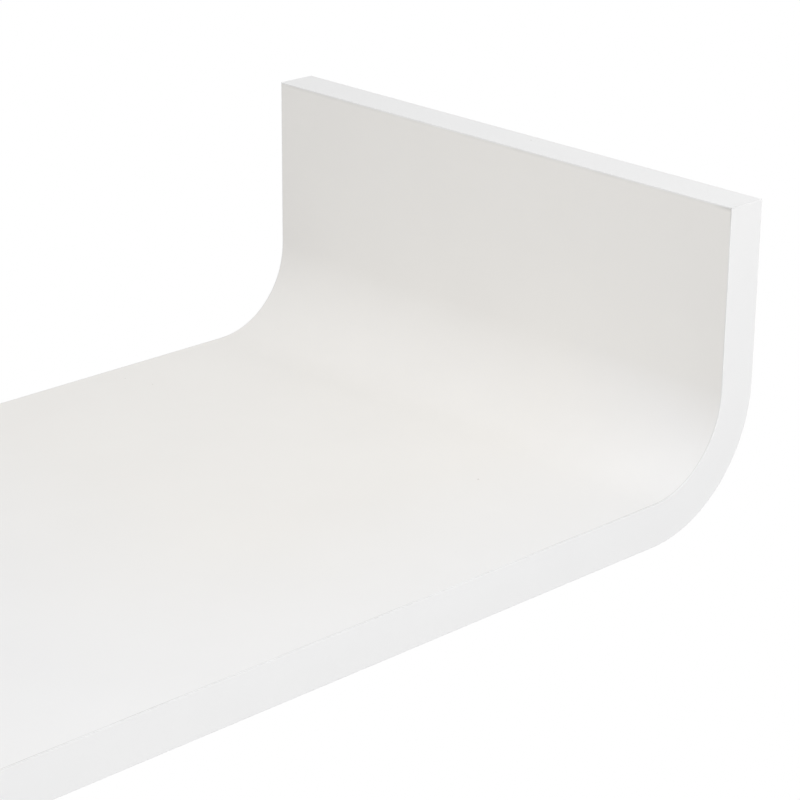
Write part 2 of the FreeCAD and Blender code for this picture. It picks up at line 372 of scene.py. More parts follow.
class Wiring:
    """Adds nodes to one tree and joins them."""

    def __init__(self, tree: Tree) -> None:
        """Starts on a tree."""
        self.tree = tree

    def add(self, kind: str, sockets: Sockets | None = None, **settings: object) -> Node:
        """Adds a node.

        Args:
            kind: Blender's name of the node type.
            sockets: for inputs by name or number, a number or colour to set or a socket to join.
            settings: properties of the node.

        Returns:
            The node.
        """
        node = self.tree.nodes.new(kind)
        for name, value in settings.items():
            setattr(node, name, value)
        for name, value in (sockets or {}).items():
            if isinstance(value, Socket):
                self.join(value, node.inputs[name])
            else:
                node.inputs[name].default_value = value
        return node

    def join(self, source: Socket, target: Socket) -> None:
        """Joins an output to an input."""
        self.tree.links.new(source, target)

    def group(self, tree: Tree, sockets: Sockets) -> Node:
        """Places a shared effect with values of its own."""
        return self.add("ShaderNodeGroup", sockets, node_tree=tree)

    def maths(self, operation: str, first: SocketValue, second: SocketValue = 0.0) -> Socket:
        """Result of one sum on two values."""
        return self.add("ShaderNodeMath", {0: first, 1: second}, operation=operation).outputs[0]

    def spread(
        self, value: SocketValue, low: float, high: float, to_low: SocketValue, to_high: SocketValue
    ) -> Socket:
        """Value spread from one range to another and kept inside it."""
        sockets = {"Value": value, "From Min": low, "From Max": high, "To Min": to_low, "To Max": to_high}
        return self.add("ShaderNodeMapRange", sockets).outputs["Result"]

    def blend(self, factor: SocketValue, first: SocketValue, second: SocketValue) -> Socket:
        """Colour between two colours."""
        sockets = {0: factor, MIX_FIRST: first, MIX_SECOND: second}
        return self.add("ShaderNodeMix", sockets, data_type="RGBA").outputs[MIX_RESULT]

    def tint(self, factor: SocketValue, colour: SocketValue, shade: Colour) -> Socket:
        """Colour multiplied by a shade, as far as the factor says."""
        sockets = {0: factor, MIX_FIRST: colour, MIX_SECOND: opaque(shade)}
        return self.add("ShaderNodeMix", sockets, data_type="RGBA", blend_type="MULTIPLY").outputs[MIX_RESULT]

    def noise(self, vector: SocketValue, scale: SocketValue, detail: float) -> Socket:
        """Soft noise in three dimensions."""
        sockets = {"Vector": vector, "Scale": scale, "Detail": detail}
        return self.add("ShaderNodeTexNoise", sockets).outputs["Fac"]

    def place(self, run: Point) -> Socket:
        """Object coordinates, scaled on each axis."""
        objects = self.add("ShaderNodeTexCoord").outputs["Object"]
        return self.add("ShaderNodeMapping", {"Vector": objects, "Scale": run}).outputs["Vector"]

    def mirrored_distance(self, vector: SocketValue, point: SocketValue) -> Socket:
        """Distance from a point and from its mirror images in the three planes through the origin."""
        sides = self.add("ShaderNodeVectorMath", {0: vector}, operation="ABSOLUTE").outputs["Vector"]
        return self.add("ShaderNodeVectorMath", {0: sides, 1: point}, operation="DISTANCE").outputs["Value"]

    def attribute(self, name: str) -> Socket:
        """One number that the piece carries, 0 where it carries none."""
        return self.add("ShaderNodeAttribute", attribute_name=name).outputs["Fac"]

    def seen(self) -> Socket:
        """Tells rays that come from the camera, a mirror image or a clear piece.

        Returns:
            1 for such rays.
        """
        path = self.add("ShaderNodeLightPath").outputs
        mirrored = self.maths("MAXIMUM", path["Is Camera Ray"], path["Is Glossy Ray"])
        return self.maths("MAXIMUM", mirrored, path["Is Transmission Ray"])


NUMBER, COLOUR, VECTOR = "NodeSocketFloat", "NodeSocketColor", "NodeSocketVector"
NOISE_LOW, NOISE_HIGH = 0.3, 0.7  # soft noise seldom leaves this range
COARSE, MIDDLING, FINE = 2.0, 3.0, 4.0  # octaves of detail in a noise


class SurfaceGroups:
    """Effects that several finishes share, each built once as a node group."""

    def __init__(self) -> None:
        """Builds every group."""
        self.mottle = self.build_mottle()
        self.joint_dust = self.build_dust_and_painted_shade()
        self.specks = self.build_specks()
        self.veneers = self.build_veneers()

    @staticmethod
    def start(
        name: str, takes: dict[str, str], gives: dict[str, str]
    ) -> tuple[Wiring, bpy.types.bpy_prop_collection, bpy.types.bpy_prop_collection]:
        """Starts a node group.

        Args:
            name: name of the group.
            takes: its inputs, name to socket type.
            gives: its outputs, name to socket type.

        Returns:
            Its wiring, what comes in and what goes out.
        """
        tree = bpy.data.node_groups.new(name, "ShaderNodeTree")
        for direction, sockets in (("INPUT", takes), ("OUTPUT", gives)):
            for socket, kind in sockets.items():
                tree.interface.new_socket(name=socket, in_out=direction, socket_type=kind)
        wiring = Wiring(tree)
        return wiring, wiring.add("NodeGroupInput").outputs, wiring.add("NodeGroupOutput").inputs

    def build_mottle(self) -> Tree:
        """Cloudy change of colour and roughness, with a fine height for bump.

        Returns:
            The group.
        """
        patch_ratio = 3.7
        wiring, takes, gives = self.start(
            "mottle",
            {
                "Vector": VECTOR,
                "Scale": NUMBER,
                "Grain": NUMBER,
                "First": COLOUR,
                "Second": COLOUR,
                "Smoothest": NUMBER,
                "Roughest": NUMBER,
            },
            {"Colour": COLOUR, "Roughness": NUMBER, "Height": NUMBER},
        )
        cloud = wiring.noise(takes["Vector"], takes["Scale"], MIDDLING)
        share = wiring.spread(cloud, NOISE_LOW, NOISE_HIGH, 0.0, 1.0)
        patches = wiring.noise(takes["Vector"], wiring.maths("MULTIPLY", takes["Scale"], patch_ratio), FINE)
        rough = wiring.spread(patches, NOISE_LOW, NOISE_HIGH, takes["Smoothest"], takes["Roughest"])
        wiring.join(wiring.blend(share, takes["First"], takes["Second"]), gives["Colour"])
        wiring.join(rough, gives["Roughness"])
        wiring.join(wiring.noise(takes["Vector"], takes["Grain"], COARSE), gives["Height"])
        return wiring.tree

    def build_dust_and_painted_shade(self) -> Tree:
        """Grey along a line, broken along its length and thickest at one place: dust in a joint, painted
        shade on an arris.

        Returns:
            The group.
        """
        break_scale = 30.0
        reach = 0.008
        extra = 1.2
        wiring, takes, gives = self.start(
            "joint_dust",
            {
                "Vector": VECTOR,
                "Clean": COLOUR,
                "Dust": COLOUR,
                "Mask": NUMBER,
                "Faintest": NUMBER,
                "Corner": VECTOR,
            },
            {"Colour": COLOUR},
        )
        breaks = wiring.noise(takes["Vector"], break_scale, MIDDLING)
        broken = wiring.spread(breaks, NOISE_LOW, NOISE_HIGH, takes["Faintest"], 1.0)
        from_corner = wiring.mirrored_distance(takes["Vector"], takes["Corner"])
        near = wiring.spread(from_corner, 0.0, reach, extra, 0.0)
        mask = wiring.maths("MULTIPLY", takes["Mask"], wiring.maths("ADD", broken, near))
        share = wiring.spread(mask, 0.0, 1.0, 0.0, 1.0)
        wiring.join(wiring.blend(share, takes["Clean"], takes["Dust"]), gives["Colour"])
        return wiring.tree

    def build_specks(self) -> Tree:
        """Mask of sparse specks: 1 close to the scattered points of a cell pattern.

        Returns:
            The group.
        """
        inner, outer = 0.012, 0.022
        wiring, takes, gives = self.start("specks", {"Vector": VECTOR, "Scale": NUMBER}, {"Mask": NUMBER})
        cells = wiring.add("ShaderNodeTexVoronoi", {"Vector": takes["Vector"], "Scale": takes["Scale"]})
        wiring.join(wiring.spread(cells.outputs["Distance"], inner, outer, 1.0, 0.0), gives["Mask"])
        return wiring.tree

    def build_veneers(self) -> Tree:
        """Bands of light and dark veneer across the thickness of plywood.

        Returns:
            The group.
        """
        fibre_scale = 900.0
        band_low, band_high = 0.45, 0.55
        palest = 0.6
        wiring, takes, gives = self.start(
            "veneers",
            {"Vector": VECTOR, "Depth": NUMBER, "Veneer": NUMBER, "Light": COLOUR, "Dark": COLOUR},
            {"Colour": COLOUR},
        )
        wave = wiring.maths("PINGPONG", wiring.maths("DIVIDE", takes["Depth"], takes["Veneer"]), 1.0)
        band = wiring.spread(wave, band_low, band_high, 0.0, 1.0)
        fibre = wiring.noise(takes["Vector"], fibre_scale, MIDDLING)
        share = wiring.maths("MULTIPLY", band, wiring.spread(fibre, NOISE_LOW, NOISE_HIGH, palest, 1.0))
        wiring.join(wiring.blend(share, takes["Light"], takes["Dark"]), gives["Colour"])
        return wiring.tree


# Finishes


@dataclass(frozen=True, kw_only=True)
class Finish:
    """A finish that pieces may share: two close colours in clouds, a range of roughness and a fine grain.

    run scales the pattern on each axis, so that a small one draws it out there.
    """

    name: str
    first: Colour
    second: Colour
    cloud_scale: float
    grain_scale: float
    grain_height: float
    smoothest: float
    roughest: float
    run: Point = (1.0, 1.0, 1.0)
    metallic: float = 0.0
    specular: float = 0.5

    def material(self, groups: SurfaceGroups) -> Material:
        """Builds the finish's material.

        Args:
            groups: the shared effects.

        Returns:
            The material.
        """
        made = bpy.data.materials.new(self.name)
        made.use_nodes = True
        wiring = Wiring(made.node_tree)
        place = wiring.place(self.run)
        mottle = wiring.group(
            groups.mottle,
            {
                "Vector": place,
                "Scale": self.cloud_scale,
                "Grain": self.grain_scale,
                "First": opaque(self.first),
                "Second": opaque(self.second),
                "Smoothest": self.smoothest,
                "Roughest": self.roughest,
            },
        ).outputs
        bump = wiring.add("ShaderNodeBump", {"Height": mottle["Height"], "Distance": self.grain_height})
        shader = made.node_tree.nodes["Principled BSDF"].inputs
        wiring.join(self.coloured(wiring, groups, place, mottle["Colour"]), shader["Base Color"])
        wiring.join(mottle["Roughness"], shader["Roughness"])
        wiring.join(bump.outputs["Normal"], shader["Normal"])
        shader["Metallic"].default_value = self.metallic
        shader["Specular IOR Level"].default_value = self.specular
        return made

    def coloured(self, wiring: Wiring, groups: SurfaceGroups, place: Socket, clouds: Socket) -> Socket:
        """The finish's colour, worked out from that of its clouds: here the clouds alone."""
        return clouds


@dataclass(frozen=True, kw_only=True)
class SatinSkin(Finish):
    """Satin white skin of the edge bands and, with a painted warm tint of shade, of the face sheets.

    Grey dust lies in its joint lines, most at the top front corners where hands take hold, and a few specks
    sit on its faces. Its arrises are greyed with painted shade, also most at those corners, which takes the
    highlight off their rounds. Along an arris or a joint the grey has at least the faintest share.
    """

    corner: Point
    # The arrises' grey is painted shade that takes the highlight off their rounds.
    arris_painted_shade: Colour
    arris_shade_faintest: float = 0.85
    joint_grey: Colour = (0.5, 0.49, 0.47)
    joint_faintest: float = 0.15
    speck_grey: Colour = (0.6, 0.585, 0.555)
    speck_scale: float = 48.0
    grain_height: float = 0.000006
    specular: float = 0.3

    def coloured(self, wiring: Wiring, groups: SurfaceGroups, place: Socket, clouds: Socket) -> Socket:
        """Puts specks, arrises greyed with painted shade and dusty joints over the clouds.

        Args:
            wiring: the material's wiring.
            groups: the shared effects.
            place: Object coordinates.
            clouds: the cloudy colour.

        Returns:
            The colour.
        """
        specks = wiring.group(groups.specks, {"Vector": place, "Scale": self.speck_scale})
        colour = wiring.blend(specks.outputs["Mask"], clouds, opaque(self.speck_grey))
        # The arris mark lays painted shade, a grey that takes the highlight off the arris rounds; the joint
        # mark lays dust.
        lines = (
            ("arris", self.arris_painted_shade, self.arris_shade_faintest),
            ("joint", self.joint_grey, self.joint_faintest),
        )
        for mark, grey, faintest in lines:
            sockets = {
                "Vector": place,
                "Clean": colour,
                "Dust": opaque(grey),
                "Mask": wiring.attribute(mark),
                "Faintest": faintest,
                "Corner": self.corner,
            }
            colour = wiring.group(groups.joint_dust, sockets).outputs["Colour"]
        return colour


@dataclass(frozen=True, kw_only=True)
class FaceSkin(SatinSkin):
    """Skin of the face sheets: its white carries a painted warm tint of shade, least in the front middle of
    the deck.

    That place is lit most. The tint is a colour that multiplies the white. It comes in between the two
    distances in across from the middle of the shelf, and over reach from the front edge, with edge_share of
    it at the edge. Between the two heights in upward it comes in all the way to the front.
    """

    depth: float
    painted_shade_tint: Colour = (1.013, 0.9985, 0.970)
    across: tuple[float, float] = (0.022, 0.133)
    reach: float = 0.074
    edge_share: float = 0.14
    upward: tuple[float, float] = (0.015, 0.045)

    def coloured(self, wiring: Wiring, groups: SurfaceGroups, place: Socket, clouds: Socket) -> Socket:
        """Paints the warm tint of shade on the clouds: its rise along the shelf times the larger of those
        inward and upward.

        Args:
            wiring: the material's wiring.
            groups: the shared effects.
            place: Object coordinates.
            clouds: the cloudy white.

        Returns:
            The colour.
        """
        axes = wiring.add("ShaderNodeSeparateXYZ", {"Vector": place}).outputs
        along = wiring.spread(wiring.maths("ABSOLUTE", axes["X"]), *self.across, 0.0, 1.0)
        inward = wiring.spread(axes["Y"], -self.depth, self.reach - self.depth, self.edge_share, 1.0)
        upward = wiring.spread(axes["Z"], *self.upward, 0.0, 1.0)
        # Share of the painted warm tint of shade: none along the middle of the shelf, rising towards both
        # ends, less at the front edge of the deck, and full up the bends and uprights.
        shade_tint_share = wiring.maths("MULTIPLY", along, wiring.maths("MAXIMUM", inward, upward))
        return super().coloured(wiring, groups, place, wiring.tint(shade_tint_share, clouds, self.painted_shade_tint))


@dataclass(frozen=True, kw_only=True)
class Plywood(Finish):
    """Raw plywood whose veneers show on its edges."""

    layup: Layup
    sizes: ShelfSizes
    veneer: float = 0.0014
    first: Colour = (0.56, 0.40, 0.235)
    second: Colour = (0.33, 0.205, 0.10)
    cloud_scale: float = 60.0
    grain_scale: float = 1200.0
    grain_height: float = 0.00004
    smoothest: float = 0.6
    roughest: float = 0.8

    def depth(self, wiring: Wiring, place: Socket) -> Socket:
        """Depth through the veneers.

        For a flat piece it is Z and for an upright one the size of X. For a bend it is the distance from the
        bend's axis, counting only what lies outside and below that axis, so that it runs on straight into
        both legs.

        Args:
            wiring: the material's wiring.
            place: Object coordinates.

        Returns:
            The depth in metres.
        """
        axes = wiring.add("ShaderNodeSeparateXYZ", {"Vector": place}).outputs
        if self.layup is Layup.FLAT:
            return axes["Z"]
        across = wiring.maths("ABSOLUTE", axes["X"])
        if self.layup is Layup.UPRIGHT:
            return across
        outside = wiring.maths("MAXIMUM", wiring.maths("SUBTRACT", across, self.sizes.bend_x), 0.0)
        below = wiring.maths("MAXIMUM", wiring.maths("SUBTRACT", self.sizes.bend_z, axes["Z"]), 0.0)
        squares = wiring.maths("ADD", wiring.maths("POWER", outside, 2.0), wiring.maths("POWER", below, 2.0))
        return wiring.maths("SQRT", squares)

    def coloured(self, wiring: Wiring, groups: SurfaceGroups, place: Socket, clouds: Socket) -> Socket:
        """Lays bands of dark veneer between bands of the clouds' colour.

        Args:
            wiring: the material's wiring.
            groups: the shared effects.
            place: Object coordinates.
            clouds: the cloudy colour.

        Returns:
            The colour.
        """
        sockets = {
            "Vector": place,
            "Depth": self.depth(wiring, place),
            "Veneer": self.veneer,
            "Light": clouds,
            "Dark": opaque(self.second),
        }
        return wiring.group(groups.veneers, sockets).outputs["Colour"]


@dataclass(frozen=True, kw_only=True)
class Zinc(Finish):
    """Zinc plating over drawn or pressed steel, with fine lines from the rolls or the die along its run."""

    cloud_scale: float = 140.0
    grain_scale: float = 900.0
    grain_height: float = 0.000012
    metallic: float = 1.0


def shelf_finishes(sizes: ShelfSizes) -> dict[str, Finish]:
    """Every finish of the shelf by name.

    Args:
        sizes: the shelf's sizes.

    Returns:
        The finishes.
    """
    corner = (sizes.inner_x, -sizes.core_front, sizes.core_top)
    finishes = (
        FaceSkin(
            name="face_laminate",
            first=(0.837, 0.835, 0.835),
            second=(0.825, 0.823, 0.823),
            cloud_scale=22.0,
            grain_scale=2200.0,
            smoothest=0.50,
            roughest=0.60,
            # Painted shade on the arrises: grey that takes the highlight off their rounds.
            arris_painted_shade=(0.68, 0.675, 0.665),
            corner=corner,
            depth=sizes.depth,
        ),
        SatinSkin(
            name="edge_band_plastic",
            first=(0.852, 0.852, 0.852),
            second=(0.84, 0.84, 0.841),
            cloud_scale=30.0,
            grain_scale=1600.0,
            smoothest=0.48,
            roughest=0.58,
            # Painted shade on the arrises: grey that takes the highlight off their rounds.
            arris_painted_shade=(0.68, 0.68, 0.68),
            corner=corner,
        ),
        Finish(
            name="fibreboard",
            first=(0.34, 0.23, 0.125),
            second=(0.24, 0.15, 0.075),
            cloud_scale=700.0,
            grain_scale=700.0,
            grain_height=0.00006,
            smoothest=0.75,
            roughest=0.95,
            run=(1.0, 0.35, 1.0),
        ),
        Plywood(name="bent_plywood", layup=Layup.BENT, sizes=sizes),
        Plywood(name="flat_tongue_plywood", layup=Layup.FLAT, sizes=sizes),
        Plywood(name="upright_tongue_plywood", layup=Layup.UPRIGHT, sizes=sizes),
        Zinc(
            name="zinc_plate",
            first=(0.54, 0.55, 0.57),
            second=(0.45, 0.465, 0.49),
            smoothest=0.30,
            roughest=0.44,
            run=(1.0, 1.0, 0.08),
        ),
        Zinc(
            name="zinc_screw",
            first=(0.60, 0.60, 0.60),
            second=(0.50, 0.505, 0.515),
            smoothest=0.24,
            roughest=0.36,
            run=(1.0, 0.4, 1.0),
        ),
        Finish(
            name="grey_nylon",
            first=(0.225, 0.23, 0.24),
            second=(0.20, 0.205, 0.216),
            cloud_scale=90.0,
            grain_scale=1500.0,
            grain_height=0.00002,
            smoothest=0.45,
            roughest=0.58,
        ),
    )
    return {finish.name: finish for finish in finishes}


# Sub-assemblies


@dataclass
class Workshop:
    """What every sub-assembly needs: the CAD nodes, the shelf's sizes and the materials by name."""

    nodes: dict[str, Piece]
    sizes: ShelfSizes
    materials: dict[str, Material]

    def stand_in(self, piece: Piece, node: str, finish: str) -> None:
        """Puts a new piece in the place of a CAD node, on the node's body and in its finish.

        Args:
            piece: the new piece.
            node: the node that it stands for.
            finish: name of its finish.
        """
        piece.data.materials.append(self.materials[finish])
        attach(piece, self.nodes[node]["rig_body"])
        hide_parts(node)
        LOG.info("%s stands for %s in %s: %d faces", piece.name, node, finish, len(piece.data.polygons))

    def dress(self, node: str, finish: str) -> None:
        """Gives a CAD node its finish.

        Args:
            node: name of the node.
            finish: name of the finish.
        """
        materials = self.nodes[node].data.materials
        materials.clear()
        materials.append(self.materials[finish])
        LOG.info("%s dressed in %s", node, finish)


@dataclass
class FaceSheets:
    """The two laminate sheets that wrap the deck, the bends and the uprights."""

    shop: Workshop

    def section(self) -> tuple[Array, Array, Array]:
        """Section of a sheet: a rectangle whose two visible corners are quarter rounds.

        On a round, the depth is the radius times one less the sine of the turn, and the step in from the edge
        is the radius times one less the cosine.

        Returns:
            Depth below the visible face, place along Y, and 1 where the joint line is.
        """
        sizes = self.shop.sizes
        fall, step_in = sizes.joint_round * SINE_LEFT, sizes.joint_round * COSINE_LEFT
        land = sizes.joint_round + sizes.joint_stain
        front, rear = sizes.core_front, sizes.core_rear
        depth = [[sizes.sheet], fall, [0.0, 0.0], fall[::-1], [sizes.sheet]]
        y = [[front], front + step_in, [front + land, rear - land], rear - step_in[::-1], [rear]]
        edge = np.ones(ROUND_STEPS + 2)
        return np.concatenate(depth), np.concatenate(y), np.concatenate([edge, [0.0, 0.0], edge])

    def sheet(self, name: str, outside: bool) -> Piece:
        """One sheet: its section carried along the shelf's line, falling away in a small round at both tops.

        Args:
            name: name of the piece.
            outside: true for the sheet under the deck, false for the one over it.

        Returns:
            The piece.
        """
        sizes = self.shop.sizes
        line = ShelfLine.to_height(sizes, sizes.core_top, sizes.joint_round, sizes.top_stain)
        depth, y, joint = self.section()
        depth = np.maximum(depth[None, :], round_fall(sizes.joint_round, line.to_end)[:, None])
        offset = sizes.board - depth if outside else depth
        at_top = TOP_DUST * (line.to_end < sizes.joint_round + LAND)
        dust = np.maximum(joint[None, :] * settled(line)[:, None], at_top[:, None])
        return tube_piece(name, [line.carried(offset, y[None, :])], {"joint": dust})

    def build(self) -> None:
        """Builds both sheets."""
        self.shop.stand_in(self.sheet("inner_laminate", False), "inner_face_sheet", "face_laminate")
        self.shop.stand_in(self.sheet("outer_laminate", True), "outer_face_sheet", "face_laminate")


@dataclass(frozen=True)
class BandSection:
    """Section of an edge band: a thin strip with two rounded arrises and a small round at each joint line.

    offset runs across the board and depth below the band's face. arris is 1 in the middle of each arris
    round, where painted shade greys the colour, and joint is 1 where the joint lines are.
    """

    offset: Array
    depth: Array
    arris: Array
    joint: Array

    @classmethod
    def of(cls, sizes: ShelfSizes) -> BandSection:
        """Works out half the section and mirrors it.

        On each round, one measure is the radius times one less the sine of the turn and the other the radius
        times one less the cosine.

        Args:
            sizes: the shelf's sizes.

        Returns:
            The section.
        """
        joint, arris = sizes.joint_round, sizes.arris
        side_lands = [sizes.band - joint - sizes.joint_stain, arris + LAND]
        blank = np.zeros_like(ROUND_TURN)
        halves = (
            np.concatenate([joint * SINE_LEFT, [0.0, 0.0], arris * COSINE_LEFT, [arris + LAND]]),
            np.concatenate([sizes.band - joint * COSINE_LEFT, side_lands, arris * SINE_LEFT, [0.0]]),
            np.concatenate([blank, [0.0, 0.0], np.sin(2.0 * ROUND_TURN), [0.0]]),
            np.concatenate([blank + 1.0, [0.0, 0.0], blank, [0.0]]),
        )
        offset, *others = halves
        mirrored = (sizes.board - offset, *others)
        return cls(*(np.concatenate([half, other[::-1]]) for half, other in zip(halves, mirrored)))


@dataclass
class EdgeBands:
    """The plastic bands that close the front, the rear and the two tops."""

    shop: Workshop

    def front_band(self) -> Piece:
        """The front band: its section carried along the shelf's line, with a rounded arris at both tops.

        Returns:
            The piece.
        """
        sizes = self.shop.sizes
        section = BandSection.of(sizes)
        line = ShelfLine.to_height(sizes, sizes.top, sizes.arris, LAND)
        fall = round_fall(sizes.arris, line.to_end)[:, None]
        depth = np.maximum(section.depth[None, :], fall)
        points = line.carried(section.offset[None, :], -sizes.depth + depth)
        # The arris mark lays painted shade that takes the highlight off the arris rounds: in full where the
        # line is level, none up the uprights, and a share on the face round at both tops.
        in_round = smooth_step(sizes.arris, sizes.arris / 2, line.to_end)
        at_top = (in_round * smooth_step(0.0, sizes.arris / 2, line.to_end))[:, None]
        on_face = section.depth[None, :] < sizes.arris / 2
        arris = np.maximum(section.arris[None, :] * line.level[:, None], UPRIGHT_DUST_AND_SHADE * at_top * on_face)
        joint = section.joint[None, :] * settled(line)[:, None]
        return tube_piece("front_band", [points], {"arris": arris, "joint": joint})

    def top_band(self, end: End) -> Piece:
        """A top band: its section carried straight from the front band to the rear one.

        Args:
            end: the end of the shelf.

        Returns:
            The piece.
        """
        sizes = self.shop.sizes
        section = BandSection.of(sizes)
        in_round = sizes.joint_round * SINE_LEFT
        low, high = sizes.core_front, sizes.core_rear
        land = sizes.joint_round + LAND
        middle = np.linspace(low + land, high - land, UPRIGHT_STEPS)
        y = np.concatenate([low + in_round[::-1], middle, high - in_round])
        to_end = np.minimum(y - low, high - y)
        depth = np.maximum(section.depth[None, :], round_fall(sizes.joint_round, to_end)[:, None])
        x = end.value * (sizes.inner_x + section.offset)
        points = np.stack(np.broadcast_arrays(x[None, :], y[:, None], sizes.top - depth), axis=-1)
        at_end = to_end < sizes.joint_round + LAND / 2
        joint = UPRIGHT_DUST_AND_SHADE * np.maximum(section.joint[None, :], at_end[:, None])
        # The arris mark lays painted shade on the top band's arris rounds, a share of that on a level arris.
        arris = np.broadcast_to(UPRIGHT_DUST_AND_SHADE * section.arris, joint.shape)
        return tube_piece(end.named("top_band"), [points], {"arris": arris, "joint": joint})

    def build(self) -> None:
        """Builds the visible bands and dresses the rear one."""
        finish = "edge_band_plastic"
        self.shop.stand_in(self.front_band(), "front_edge_band", finish)
        for end in End:
            self.shop.stand_in(self.top_band(end), end.named("top_edge_band"), finish)
        self.shop.dress("rear_edge_band", finish)


@dataclass
class CoreBoards:
    """The boards inside the skin and the tongues that join them."""

    shop: Workshop

    def build(self) -> None:
        """Dresses every board and tongue."""
        self.shop.dress("deck_core", "fibreboard")
        for end in End:
            self.shop.dress(end.named("upright_core"), "fibreboard")
            self.shop.dress(end.named("bend_core"), "bent_plywood")
            self.shop.dress(end.named("deck_tongue"), "flat_tongue_plywood")
            self.shop.dress(end.named("upright_tongue"), "upright_tongue_plywood")


@dataclass(frozen=True, kw_only=True)
class Turned(ABC):
    """A fixing turned round an axis along Y, with points at even steps around it."""

    around: int
    smallest_radius: float = 0.00004

    def turns(self) -> Array:
        """Angles round the axis, in order."""
        return np.linspace(0.0, 2.0 * math.pi, self.around, endpoint=False)

    @abstractmethod
    def outline(self, turn: Array) -> tuple[Array, Array]:
        """Radius and place along the axis, by ring and angle."""

    def rings(self, x: float, y: float, z: float, direction: float = 1.0) -> Array:
        """Rings of the whole piece: its radius times the cosine and the sine of each angle, off the axis.

        Args:
            x: place of the axis, across.
            y: place of the end from which the outline is measured.
            z: place of the axis, up.
            direction: 1 to point into the wall, -1 to point into the shelf.

        Returns:
            Points by ring and angle.
        """
        turn = self.turns()[None, :]
        radius, place = self.outline(turn)
        across, up = x + radius * np.cos(turn), z + radius * np.sin(turn)
        return np.stack([across, y + direction * place, up], axis=-1)


@dataclass(frozen=True, kw_only=True)
class Screw(Turned):
    """One kind of screw. Places along it run from the top of its head to its tip.

    crown is the fall of the head's domed top, side the end of its straight side and neck the place where the
    head has run in to the shank. recess_mouth and recess_foot are the top and foot of the cross's walls in
    shares of its half width, arm_foot the foot of its end walls in shares of its arm and recess_fall the
    depth lost at its ends.
    """

    head_radius: float
    crown: float
    side: float
    neck: float
    shank_radius: float
    core_radius: float
    plain: float
    pitch: float
    length: float
    point: float
    recess_arm: float
    recess_half_width: float
    recess_depth: float
    around: int = 56
    head_rings: int = 26
    rings_per_pitch: int = 8
    dome_power: float = 2.6
    recess_mouth: float = 1.35
    recess_foot: float = 0.75
    arm_foot: float = 0.8
    recess_fall: float = 0.5
    ridge_slope: float = 3.0

    def head_top(self, turn: Array) -> tuple[Array, Array]:
        """Top of the head: a flat or domed disc with a cross sunk in it.

        The dome falls by crown times one less the root of one less the share of the radius, both to
        dome_power. The cross is as deep as recess_depth where the smaller of the two sides is within its half
        width and the larger within its arm, with smooth walls, and it gets shallower outwards.

        Args:
            turn: angles round the screw.

        Returns:
            Radius and place, by ring and angle.
        """
        radius = np.linspace(self.smallest_radius, self.head_radius, self.head_rings)[:, None]
        share = radius / self.head_radius
        dome = self.crown * (1.0 - np.clip(1.0 - share**self.dome_power, 0.0, 1.0) ** (1.0 / self.dome_power))
        sides = np.abs(np.stack([radius * np.cos(turn), radius * np.sin(turn)]))
        near, far = sides.min(axis=0), sides.max(axis=0)
        mouth, foot = self.recess_half_width * self.recess_mouth, self.recess_half_width * self.recess_foot
        width = smooth_step(mouth, foot, near)
        reach = smooth_step(self.recess_arm, self.recess_arm * self.arm_foot, far)
        cross = self.recess_depth * width * reach * (1.0 - self.recess_fall * far / self.recess_arm)
        return np.broadcast_to(radius, cross.shape), dome + cross

    def shank(self, turn: Array) -> tuple[Array, Array]:
        """Shank from neck to tip: a plain length, then a core with a helical ridge, tapered at the point.

        The ridge is a triangle wave of the place over the pitch less the share of a full turn.

        Args:
            turn: angles round the screw.

        Returns:
            Radius and place, by ring and angle.
        """
        ring_count = int(self.rings_per_pitch * (self.length - self.neck) / self.pitch)
        place = np.linspace(self.neck, self.length, ring_count)[:, None]
        phase = np.mod(place / self.pitch - turn / (2.0 * math.pi), 1.0)
        ridge = np.clip(1.0 - self.ridge_slope * np.abs(phase - 0.5), 0.0, 1.0)
        start = self.neck + self.plain
        threaded = smooth_step(start, start + self.pitch, place)
        core = self.shank_radius + (self.core_radius - self.shank_radius) * threaded
        radius = core + (self.shank_radius - core) * ridge
        taper = np.clip((self.length - place) / self.point, 0.0, 1.0)
        return np.maximum(radius * taper, self.smallest_radius), np.broadcast_to(place, radius.shape)

    def outline(self, turn: Array) -> tuple[Array, Array]:
        """The top of the head, the end of the head's side and the shank.

        Args:
            turn: angles round the screw.

        Returns:
            Radius and place, by ring and angle.
        """
        side = (np.full_like(turn, self.head_radius), np.full_like(turn, self.side))
        radius, place = map(np.concatenate, zip(self.head_top(turn), side, self.shank(turn)))
        return radius, place


@dataclass
class HangerPlates:
    """The keyhole plates let into the rear edges of the uprights, and their screws."""

    shop: Workshop
    screw_spacing: float = 0.030
    screw: Screw = Screw(
        head_radius=0.0028,
        crown=0.0,
        side=0.0001,
        neck=0.0014,
        shank_radius=0.0015,
        core_radius=0.00105,
        plain=0.0012,
        pitch=0.00125,
        length=0.016,
        point=0.0035,
        recess_arm=0.0017,
        recess_half_width=0.0004,
        recess_depth=0.0011,
    )

    def build(self) -> None:
        """Dresses the plates and builds their screws."""
        sizes = self.shop.sizes
        heights = [sizes.plate_height + side * self.screw_spacing / 2 for side in (-1.0, 1.0)]
        for end in End:
            self.shop.dress(end.named("keyhole_plate"), "zinc_plate")
            x = end.value * sizes.upright_x
            screws = [self.screw.rings(x, sizes.plate_back, height, -1.0) for height in heights]
            piece = tube_piece(end.named("hanger_screws"), screws)
            self.shop.stand_in(piece, end.named("plate_screws"), "zinc_screw")


